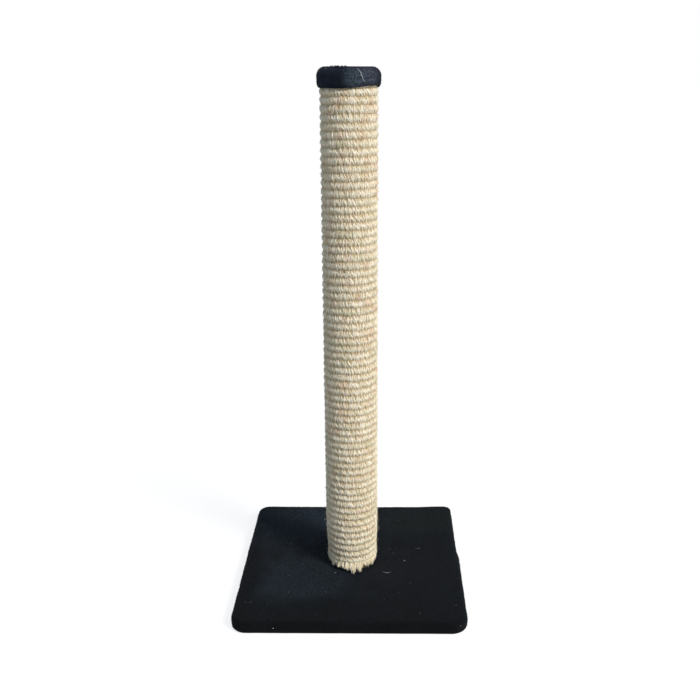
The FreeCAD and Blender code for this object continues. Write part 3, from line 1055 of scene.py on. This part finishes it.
def side_bulge(x, y):
    """How the cloth stands out from the board: most on the right, forward of its middle."""
    right = eased(x, 150 * MM, 195 * MM)
    forward = eased(-y, -32 * MM, -10 * MM)
    middle = math.exp(-((y + 10 * MM) / (70 * MM)) ** 2)
    return 2.6 * MM * right * forward * (0.4 + 0.6 * middle)


HEM_STAPLES_AT = 178 * MM
HEM_STAPLE_GAP = 53 * MM
LAST_HEM_STAPLE = 132.5 * MM


def hem_dent(x, y):
    """How far the hem's cloth is pressed in: round its staples, and in the mitre at each corner."""
    x, y = abs(x), abs(y)
    across, along = max(x, y), min(x, y)
    nearest = (math.floor(along / HEM_STAPLE_GAP) + 0.5) * HEM_STAPLE_GAP
    nearest = min(nearest, LAST_HEM_STAPLE)
    beside = 1 - eased(abs(across - HEM_STAPLES_AT), 0.9 * MM, 3.4 * MM)
    dent = 1.5 * MM * beside * (1 - eased(abs(along - nearest), 6 * MM, 9.5 * MM))
    mitre = 1.9 * MM * (1 - eased(across - along, 0.2 * MM, 1.2 * MM))
    return max(dent, mitre)


# The base cloth's top under its pile, and where and how far it bunches at the back right corner.
TOP_UNDER_PILE = 0.4 * MM
BUNCH_X = 180 * MM
BUNCH_Y = 185 * MM
BUNCH_REACH = 45 * MM
BUNCH_HEIGHT = 2.2 * MM


def cover_point(spot, out, height):
    """A point of the base cloth with the slight unevenness of fabric pulled over a board."""
    x, y = spot
    under = max(0.0, 1 - height / BASE_EDGE)
    top = max(0.0, min(1.0, (height - BASE_TOP + BASE_EDGE) / BASE_EDGE))
    edge = math.sin(math.pi * min(1.0, max(0.0, height / BASE_TOP))) ** 0.5
    puff = 1.2 * MM * wave(x * 16, y * 16, 3.1) + 0.5 * MM * wave(x * 50, y * 50, 7.7)
    push = (puff + side_bulge(x, y)) * edge
    lift = top * (0.55 * MM * wave(x * 18, y * 18, 1.3) + 0.25 * MM * wave(x * 70, y * 70, 5.2))
    lift -= TOP_UNDER_PILE * top
    bunched = math.exp(-((x - BUNCH_X) ** 2 + (y - BUNCH_Y) ** 2) / BUNCH_REACH ** 2)
    lift += BUNCH_HEIGHT * bunched * (1 - under)
    if height == 0:
        lift += hem_dent(x, y)
    place = spot + out * push
    return (place.x, place.y, height + lift)


PILE_CLEAR_OF_POST = 43 * MM
PILE_FROM = 4.5 * MM


def make_base_plush(material):
    """The base cloth as one closed shell: over the board, down its sides and under to the hem."""
    rings = cover_rings()
    points = []
    for half, corner, height in rings:
        for spot, out in square_ring(half, corner):
            points.append(cover_point(spot, out, height))
    inner_start = len(points)
    flat_top = BASE_TOP - BASE_CLOTH
    for half, corner, height in rings:
        inset = min(half, BASE_HALF - BASE_CLOTH)
        level = min(max(height, BASE_CLOTH), flat_top)
        rounded = min(inset, max(corner - (half - inset), 0.5 * MM))
        for spot, out in square_ring(inset, rounded):
            points.append(cover_point(spot, out, level))
    rows = len(rings)
    faces = ring_faces(rows, RING_POINTS, closed=True, flip=True)
    inner = ring_faces(rows, RING_POINTS, closed=True)
    faces += [tuple(inner_start + index for index in face) for face in inner]
    last = (rows - 1) * RING_POINTS
    for column in range(RING_POINTS):
        right = (column + 1) % RING_POINTS
        hole = (right, inner_start + right, inner_start + column, column)
        hem = (column, inner_start + column, inner_start + right, right)
        faces.append(hole)
        faces.append(tuple(last + index for index in hem))
    cover = mesh_object("base_plush", points, faces, material)
    allowed = []
    for index, point in enumerate(points):
        clear = math.hypot(point[0], point[1]) > PILE_CLEAR_OF_POST
        shows = index < inner_start and clear and point[2] > PILE_FROM
        allowed.append(1.0 if shows else 0.0)
    store(cover, "grow", allowed)
    return cover


# ---- plush cap ----

CAP_COLUMNS = 120
CAP_ROWS = 22
CAP_STAPLE_HEIGHT = 884.8 * MM


def hem_lift(angle):
    """The cap's hem rides up a little towards the front right, and wavers."""
    toward = max(0.0, math.cos(angle - (FRONT + 0.95)))
    waver = 0.6 * MM * wave(2 * math.cos(angle), 2 * math.sin(angle), 4.4)
    return 2.0 * MM + 4.0 * MM * toward ** 4 + waver


# The cap's side, from the top's rim down to its drawn-in hem: share of the height and radius.
CAP_SIDE = (
    (1.0, 40.8),
    (0.965, 43.8),
    (0.89, 46.8),
    (0.79, 49.3),
    (0.69, 50.6),
    (0.58, 51.1),
    (0.22, 51.0),
    (0.12, 50.6),
    (0.04, 49.4),
    (0.0, 48.2),
)
CAP_RIM = 40.8 * MM
CAP_INSIDE = CAP_BORE - 0.2 * MM
CAP_PILE = 0.8 * MM


def cap_radius(share):
    """The radius of the cap's side at a share of its height."""
    return from_table(CAP_SIDE, share) * MM


def over_staples(angle, height):
    """The cloth rises over the four staples that are sunk in it, 45 degrees off the sides."""
    quarter = (angle + BACK / 2) % BACK - BACK / 2
    away = abs(abs(quarter) - BACK / 2) * CAP_BORE
    level = abs(height - CAP_STAPLE_HEIGHT)
    return 1.6 * MM * (1 - eased(away, 8 * MM, 13 * MM)) * (1 - eased(level, 2.5 * MM, 7 * MM))


def cap_profile(angle):
    """Radius and height of the cap's cloth, from the middle of its top round to inside its hem."""
    bottom = CAP_BOTTOM + hem_lift(angle)
    top = CAP_TOP - CAP_PILE
    line = [(share * CAP_RIM, top) for share in (0.02, 0.25, 0.5, 0.75)]
    for row in range(CAP_ROWS):
        share = 1 - row / (CAP_ROWS - 1)
        height = bottom + (top - bottom) * share
        line.append((cap_radius(share) + over_staples(angle, height), height))
    line.append((CAP_INSIDE, bottom + 0.8 * MM))
    for share in (0.3, 0.65, 1.0):
        line.append((CAP_INSIDE, bottom + (POST_TOP - bottom) * share))
    for share in (0.6, 0.3, 0.02):
        line.append((CAP_BORE * share, POST_TOP + 0.3 * MM))
    return line


# The ruffled stretch of the cap's rim: how far left of the front, how wide, and its height.
RUFFLE_LEFT = 0.42
RUFFLE_REACH = 0.35
RUFFLE_RADIUS = 44 * MM
RUFFLE_WIDTH = 3 * MM
RUFFLE_HEIGHT = 3.4 * MM


def make_cap_plush(material):
    """The cap as one closed shell, rounded over the top and drawn in at its cut edge."""
    columns = CAP_COLUMNS
    profiles = [cap_profile(TURN * column / columns) for column in range(columns)]
    rows = len(profiles[0])
    outside_rows = 4 + CAP_ROWS
    points = []
    for row in range(rows):
        for column in range(columns):
            angle = TURN * column / columns
            radius, height = profiles[column][row]
            x, y = math.cos(angle), math.sin(angle)
            if row < outside_rows and radius > 20 * MM:
                radius += 0.3 * MM * wave(3 * x, 3 * y, height * 60)
            if row < outside_rows and height > CAP_TOP - 9 * MM:
                height += 0.4 * MM * wave(radius * 60 * x, radius * 60 * y, 2.2)
                ruffled = math.exp(-((angle - FRONT - TURN + RUFFLE_LEFT) / RUFFLE_REACH) ** 2)
                rim = math.exp(-((radius - RUFFLE_RADIUS) / RUFFLE_WIDTH) ** 2)
                ruffle = max(0.0, wave(radius * 330 * x, radius * 330 * y, 8.1))
                height += RUFFLE_HEIGHT * ruffled * rim * ruffle
            points.append(at(radius, angle, height))
    faces = ring_faces(rows, columns, closed=True, flip=True)
    faces.append(tuple(range(columns)))
    faces.append(tuple((rows - 1) * columns + column for column in reversed(range(columns))))
    cap = mesh_object("cap_plush", points, faces, material)
    outside = outside_rows * columns
    store(cap, "grow", [1.0 if index < outside else 0.0 for index in range(len(points))])
    return cap


# ---- lint and hairs ----


def hair(points, faces, spots, radius):
    """A fine hair along a few points, tapered at both ends."""
    count = len(spots)
    radii = []
    for index in range(count):
        share = index / (count - 1)
        radii.append(radius * (0.35 + 0.65 * math.sin(math.pi * share)))
    tube_along(points, faces, [Vector(spot) for spot in spots], radii, 4)


def make_cap_hairs(material):
    """A pale hair caught in the pile, down the front of the cap."""
    points = []
    faces = []
    long_hair = (
        (18.8, 906.0),
        (20.5, 903.4),
        (23.6, 899.4),
        (22.4, 896.8),
        (25.2, 894.6),
        (25.6, 891.0),
        (27.6, 888.4),
        (31.4, 886.4),
    )
    spots = []
    for degrees, level in long_hair:
        angle = FRONT + math.radians(degrees)
        bottom = CAP_BOTTOM + hem_lift(angle)
        share = (level * MM - bottom) / (CAP_TOP - CAP_PILE - bottom)
        spots.append(at(cap_radius(share) + 1.5 * MM, angle, level * MM))
    hair(points, faces, spots, 0.6 * MM)
    return mesh_object("cap_lint", points, faces, material)


def make_cap_tufts(material):
    """A few longer tufts of pile along the rim of the cap's top, to the left of the front."""
    draw = random.Random(17)
    points = []
    faces = []
    for _ in range(26):
        angle = FRONT + math.radians(draw.uniform(-42, -3))
        radius = draw.uniform(38, 43) * MM
        tall = draw.uniform(0.8, 2.6) * MM
        lean = draw.uniform(-1.5, 1.5) * MM
        root = Vector(at(radius, angle, CAP_TOP - 1.5 * MM))
        along = Vector((lean, 0, 0))
        spots = [root, root + along * 0.4 + Vector((0, 0, 1.0 * MM + tall * 0.5))]
        spots.append(root + along + Vector((0, 0, 1.0 * MM + tall)))
        hair(points, faces, spots, 1.0 * MM)
    return mesh_object("cap_tufts", points, faces, material)


# Specks on the base: x, y, height and radius in millimetres.
SPECKS = (
    (-29.4, -52.0, 25.0, 0.4),
    (98.3, -11.8, 25.0, 0.6),
    (-60.0, 139.0, 25.0, 0.4),
    (-163.0, -198.0, 19.5, 0.7),
    (-126.0, -201.2, 14.0, 0.5),
    (187.0, -196.5, 17.0, 0.45),
    (196.5, -181.0, 20.0, 0.45),
    (193.0, -190.0, 18.0, 0.4),
)
DUST_HAIRS = 34
CLEAR_OF_POST = 56


def make_base_lint(material):
    """A few specks, two pale curved fibres and fine dust lying on the base."""
    points = []
    faces = []
    top = BASE_TOP + 0.9 * MM
    curved = ((57.5, -47.5), (61.5, -51.0), (66.3, -52.2), (72.0, -48.5))
    hair(points, faces, [(x * MM, y * MM, top) for x, y in curved], 0.26 * MM)
    crescent = ((120.5, 35.0), (124.0, 32.0), (128.0, 31.8), (132.0, 34.5))
    hair(points, faces, [(x * MM, y * MM, top - 0.3 * MM) for x, y in crescent], 0.13 * MM)
    for x, y, level, radius in SPECKS:
        spots = [((x + dx) * MM, (y + 0.3 * dx) * MM, level * MM) for dx in (-1.2, 0.0, 1.3)]
        hair(points, faces, spots, radius * MM)
    draw = random.Random(31)
    for _ in range(DUST_HAIRS):
        x = draw.uniform(-185, 185)
        y = draw.uniform(-185, 185)
        if math.hypot(x, y) < CLEAR_OF_POST:
            continue
        turn = draw.uniform(0, TURN)
        reach = draw.uniform(0.8, 2.6)
        bow = draw.uniform(-0.5, 0.5)
        spots = []
        for step in (-1.0, 0.0, 1.0):
            along = reach * step
            aside = bow * (1 - step * step)
            dx = along * math.cos(turn) - aside * math.sin(turn)
            dy = along * math.sin(turn) + aside * math.cos(turn)
            spots.append(((x + dx) * MM, (y + dy) * MM, top))
        hair(points, faces, spots, 0.1 * MM)
    return mesh_object("base_lint", points, faces, material)


# ---- light, floor and camera ----

CAMERA_PLACE = Vector((49.43, -1428.02, 916.04)) * MM
CAMERA_YAW = math.radians(0.2299)
CAMERA_DOWN = math.radians(17.6534)
CAMERA_ROLL = math.radians(0.1306)
KEY_AZIMUTH = math.radians(52)
KEY_HEIGHT = math.radians(38)
KEY_STRENGTH = 3.25
KEY_WIDTH = math.radians(20)
KEY_COLOUR = (1.0, 0.965, 0.92)
FILL_COLOUR = (0.77, 0.98, 1.2, 1)
FILL_STRENGTH = 0.31
WHITE = (1, 1, 1, 1)
FLOOR_PAINT = (0.5, 0.5, 0.5, 1)
FLOOR_SHADOW = (0.27, 0.27, 0.27, 1)
FLOOR_GLOW = 0.83


def make_camera():
    """Stands where the photograph was taken from, with the same lens and crop."""
    data = bpy.data.cameras.new("camera")
    data.sensor_width = 36
    data.lens = 44.45
    data.shift_x = -0.0369
    data.shift_y = -0.019
    data.clip_start = 0.05
    data.clip_end = 100
    yaw, down, roll = CAMERA_YAW, CAMERA_DOWN, CAMERA_ROLL
    level = math.cos(down)
    ahead = Vector((-math.sin(yaw) * level, math.cos(yaw) * level, -math.sin(down)))
    right = Vector((math.cos(yaw), math.sin(yaw), 0))
    up = right.cross(ahead)
    rolled_right = right * math.cos(roll) + up * math.sin(roll)
    rolled_up = up * math.cos(roll) - right * math.sin(roll)
    turn = Matrix((rolled_right, rolled_up, -ahead)).transposed().to_4x4()
    camera = in_scene("camera", data)
    camera.matrix_world = Matrix.Translation(CAMERA_PLACE) @ turn
    bpy.context.scene.camera = camera


def make_key_light():
    """One soft lamp from the front right and above."""
    data = bpy.data.lights.new("key", "SUN")
    data.energy = KEY_STRENGTH
    data.angle = KEY_WIDTH
    data.color = KEY_COLOUR
    level = math.cos(KEY_HEIGHT)
    way = Vector(
        (math.sin(KEY_AZIMUTH) * level, -math.cos(KEY_AZIMUTH) * level, math.sin(KEY_HEIGHT))
    )
    in_scene("key", data).rotation_euler = way.to_track_quat("Z", "Y").to_euler()


def seen_by_eye(tree):
    """1 for what the camera sees, straight or by gloss or glass, and 0 for light on the object."""
    path = add(tree, "ShaderNodeLightPath").outputs
    first = number(tree, "MAXIMUM", path["Is Camera Ray"], path["Is Glossy Ray"])
    return number(tree, "MAXIMUM", first, path["Is Transmission Ray"])


def two_sides(tree, for_light, for_eye):
    """One shader for the light that falls on the object and one for what the camera sees."""
    links = {0: seen_by_eye(tree), 1: for_light.outputs[0], 2: for_eye.outputs[0]}
    return add(tree, "ShaderNodeMixShader", None, links).outputs[0]


def make_world():
    """A cool, even fill from all round, and white where the camera sees past the floor."""
    world = bpy.data.worlds.new("studio")
    world.use_nodes = True
    bpy.context.scene.world = world
    tree = world.node_tree
    tree.nodes.clear()
    fill = add(tree, "ShaderNodeBackground", {"Color": FILL_COLOUR, "Strength": FILL_STRENGTH})
    white = add(tree, "ShaderNodeBackground", {"Color": WHITE, "Strength": 1.0})
    add(tree, "ShaderNodeOutputWorld", None, {0: two_sides(tree, fill, white)})


def floor_paint():
    """Matt white studio floor: plain pale paint, lifted to white for the camera alone."""
    material, tree = new_material("studio floor, matt white paint")
    paint = add(tree, "ShaderNodeBsdfDiffuse", {"Color": FLOOR_PAINT})
    shadow = add(tree, "ShaderNodeBsdfDiffuse", {"Color": FLOOR_SHADOW})
    glow = add(tree, "ShaderNodeEmission", {"Color": WHITE, "Strength": FLOOR_GLOW})
    lifted = add(tree, "ShaderNodeAddShader", None, {0: shadow.outputs[0], 1: glow.outputs[0]})
    mixed = two_sides(tree, paint, lifted)
    add(tree, "ShaderNodeOutputMaterial", None, {"Surface": mixed})
    return material


def make_floor():
    reach = 30.0
    corners = [(-reach, -reach, 0), (reach, -reach, 0), (reach, reach, 0), (-reach, reach, 0)]
    floor = mesh_object("floor", corners, [(0, 1, 2, 3)], floor_paint())


# ---- put together ----


def dress_cad(materials):
    """Gives each CAD node that shows its own material."""
    for node, material in materials.items():
        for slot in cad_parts[node].material_slots:
            slot.material = material


def make_sisal(fibres):
    yarn = sisal_yarn()
    fray = sisal_fray()
    cloth = make_sisal_cloth(sisal_core())
    loops = make_sisal_loops(yarn)
    ends = make_cut_ends(fray)
    one = make_fibre("stray fibre", 5.0 * MM, 0.17 * MM, 1.6 * MM, steps=3)
    stray = grow_fibres(
        "sisal_stray_fibres", cloth, fibres, one, fray, 42000.0, (0.6, 1.3), 1.35, 3, wider=1.02
    )
    pieces = [*loops, ends, stray, make_loose_strands(fray)]
    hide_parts("sisal_sleeve")
    for piece in [cloth, *pieces]:
        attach(piece, "root")


def make_base_cover(fibres, dust):
    material = base_plush()
    cover = make_base_plush(material)
    one = make_fibre("tuft", 1.8 * MM, 0.5 * MM, 0.8 * MM, steps=2)
    pile = grow_fibres("base_pile", cover, fibres, one, material, 95000.0, (0.5, 1.0), 1.0, 7)
    specks = make_base_lint(dust)
    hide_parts("base_cover")
    for piece in (cover, pile, specks):
        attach(piece, "root")


def make_cap(fibres, dust):
    material = cap_plush()
    cap = make_cap_plush(material)
    one = make_fibre("tuft", 1.2 * MM, 0.4 * MM, 0.6 * MM, steps=2)
    pile = grow_fibres("cap_pile", cap, fibres, one, material, 260000.0, (0.5, 1.1), 1.0, 9)
    hairs = make_cap_hairs(dust)
    tufts = make_cap_tufts(material)
    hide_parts("cap_cover")
    for piece in (cap, pile, hairs, tufts):
        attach(piece, "root")


bpy.context.scene.view_settings.view_transform = "Standard"
make_camera()
make_key_light()
make_world()
make_floor()

zinc = plated_steel("steel, bright zinc plate", "#c6c9cc", "#a3a7ab", 0.28)
wire = plated_steel("steel wire, galvanised", "#c9cbcd", "#9fa2a5", 0.35)
board = fibreboard()
tube = cardboard()
plug = plug_wood()
dress_cad(
    {
        "base_board": board,
        "base_cover_staples": wire,
        "post_bolt": zinc,
        "bolt_washer": zinc,
        "tee_nut": zinc,
        "post_tube": tube,
        "bottom_plug": plug,
        "bottom_plug_nails": wire,
        "top_plug": plug,
        "top_plug_nails": wire,
        "sleeve_seam_staples": wire,
        "cap_cover_staples": wire,
    }
)

fibres_on_cloth = fibre_tree()
dust_on_cloth = lint()
make_sisal(fibres_on_cloth)
make_base_cover(fibres_on_cloth, dust_on_cloth)
make_cap(fibres_on_cloth, dust_on_cloth)
